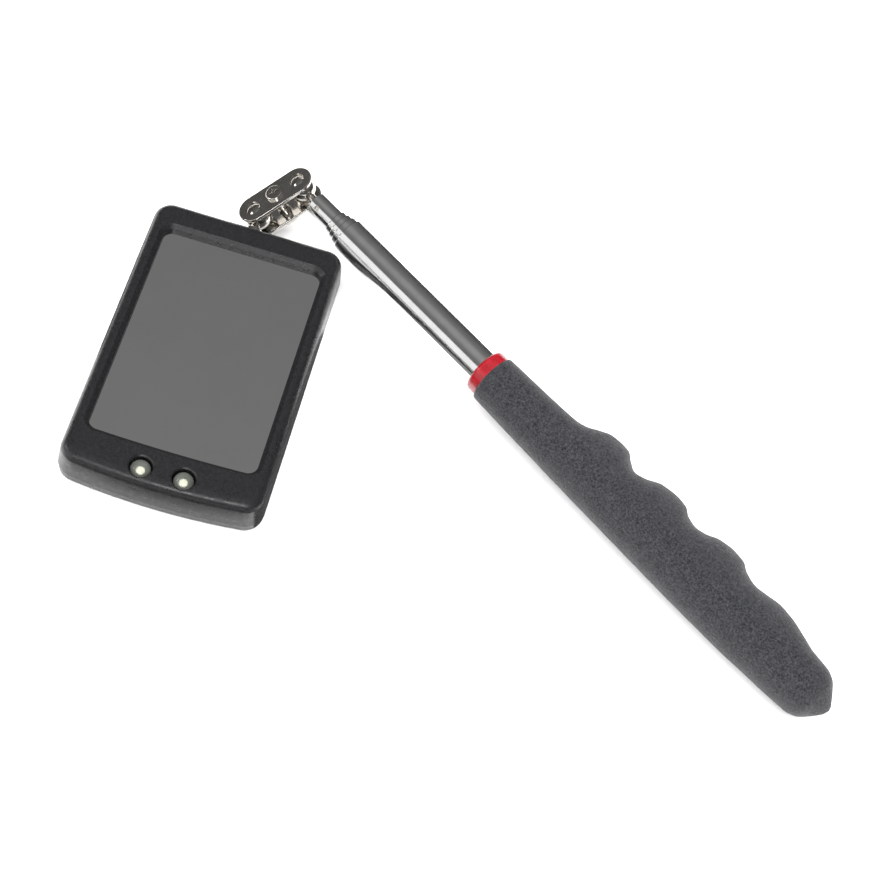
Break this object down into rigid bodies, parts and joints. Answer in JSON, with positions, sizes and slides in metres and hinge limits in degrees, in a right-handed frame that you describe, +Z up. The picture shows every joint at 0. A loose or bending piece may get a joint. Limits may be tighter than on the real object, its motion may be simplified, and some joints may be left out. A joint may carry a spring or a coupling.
{
  "type": "telescoping inspection mirror",
  "caption": "Telescoping inspection mirror: lit rectangular mirror head on a clamped double-ball link, nested sliding steel tubes and a foam grip with finger lobes.",
  "frame": {"origin": "centre of the mirror head's flat back, where it rests", "axes": "+Z up, out of the mirror's face; +X along the rod in plan, from the grip's butt to the link; +Y towards the side of the rod where the head lies"},
  "size_m": [0.2021, 0.1086, 0.0167],
  "materials": {
    "black_plastic": "fine spark-eroded texture, moulded ABS",
    "mirror": "silvered glass",
    "foam_pad": "closed-cell adhesive foam",
    "clear_lens": "clear epoxy",
    "board": "solder-masked fibreglass",
    "switch_case": "tinned steel can",
    "knob": "moulded",
    "cell_steel": "bright nickel-plated can",
    "contact_metal": "nickel-plated spring strip",
    "screw_steel": "zinc-plated",
    "nickel_plate": "polished nickel plate",
    "tube_steel": "drawn and polished stainless tube",
    "bronze": "phosphor bronze",
    "red_plastic": "glossy moulded",
    "grip_foam": "fine-grained matte foam rubber",
    "plug_plastic": "moulded"
  },
  "bodies": {
    "handle": {"outer_tube": "tube_steel", "tube_plug": "plug_plastic", "collar": "red_plastic", "grip": "grip_foam"},
    "sleeve_2": {"friction_sleeve_2": "bronze"},
    "tube_2": {"tube_2": "tube_steel"},
    "sleeve_3": {"friction_sleeve_3": "bronze"},
    "tube_3": {"tube_3": "tube_steel"},
    "sleeve_4": {"friction_sleeve_4": "bronze"},
    "tube_4": {"tube_4": "tube_steel"},
    "sleeve_5": {"friction_sleeve_5": "bronze"},
    "tip": {"tube_5": "tube_steel", "rod_ball_stud": "nickel_plate", "stud_pin": "nickel_plate"},
    "link": {"front_plate": "nickel_plate", "rear_plate": "nickel_plate", "clamp_screw": "nickel_plate", "clamp_nut": "nickel_plate"},
    "stud": {"head_ball_stud": "nickel_plate", "stud_clip": "screw_steel"},
    "head": {"front_bezel": "black_plastic", "rear_cover": "black_plastic", "mirror_glass": "mirror", "mirror_tape": "foam_pad", "led_left": "clear_lens", "led_right": "clear_lens", "led_board": "board", "switch_body": "switch_case", "cell_left": "cell_steel", "cell_right": "cell_steel", "cell_bridge": "contact_metal", "contact_left": "contact_metal", "contact_right": "contact_metal", "battery_door": "black_plastic", "door_screw": "screw_steel", "housing_screws": "screw_steel"},
    "switch": {"switch_knob": "knob"}
  },
  "joints": [
    {"name": "slide_2", "type": "slide", "parent": "handle", "child": "sleeve_2", "axis": [0.9997, 0, 0.0237], "range_m": [0, 0.146]},
    {"name": "spin_2", "type": "hinge", "parent": "sleeve_2", "child": "tube_2", "pos_m": [0.02318, -0.05107, 0.0114], "axis": [0.9997, 0, 0.0237], "continuous": true},
    {"name": "slide_3", "type": "slide", "parent": "tube_2", "child": "sleeve_3", "axis": [0.9997, 0, 0.0237], "range_m": [0, 0.141]},
    {"name": "spin_3", "type": "hinge", "parent": "sleeve_3", "child": "tube_3", "pos_m": [0.02318, -0.05107, 0.0114], "axis": [0.9997, 0, 0.0237], "continuous": true},
    {"name": "slide_4", "type": "slide", "parent": "tube_3", "child": "sleeve_4", "axis": [0.9997, 0, 0.0237], "range_m": [0, 0.136]},
    {"name": "spin_4", "type": "hinge", "parent": "sleeve_4", "child": "tube_4", "pos_m": [0.02318, -0.05107, 0.0114], "axis": [0.9997, 0, 0.0237], "continuous": true},
    {"name": "slide_5", "type": "slide", "parent": "tube_4", "child": "sleeve_5", "axis": [0.9997, 0, 0.0237], "range_m": [0, 0.131]},
    {"name": "spin_5", "type": "hinge", "parent": "sleeve_5", "child": "tip", "pos_m": [0.02318, -0.05107, 0.0114], "axis": [0.9997, 0, 0.0237], "continuous": true},
    {"name": "rod_swing", "type": "hinge", "parent": "tip", "child": "link", "pos_m": [0.02318, -0.05107, 0.0114], "axis": [0.3159, 0.3732, 0.8723], "range_deg": [-174, 2]},
    {"name": "head_swing", "type": "hinge", "parent": "link", "child": "stud", "pos_m": [0.0259, -0.03958, 0.0055], "axis": [-0.3159, -0.3732, -0.8723], "range_deg": [-2, 147]},
    {"name": "head_spin", "type": "hinge", "parent": "stud", "child": "head", "pos_m": [0.0259, -0.03958, 0.0055], "axis": [-0.5476, 0.8368, 0], "continuous": true},
    {"name": "switch_slide", "type": "slide", "parent": "head", "child": "switch", "axis": [-0.8368, -0.5476, 0], "range_m": [0, 0.0025]}
  ]
}
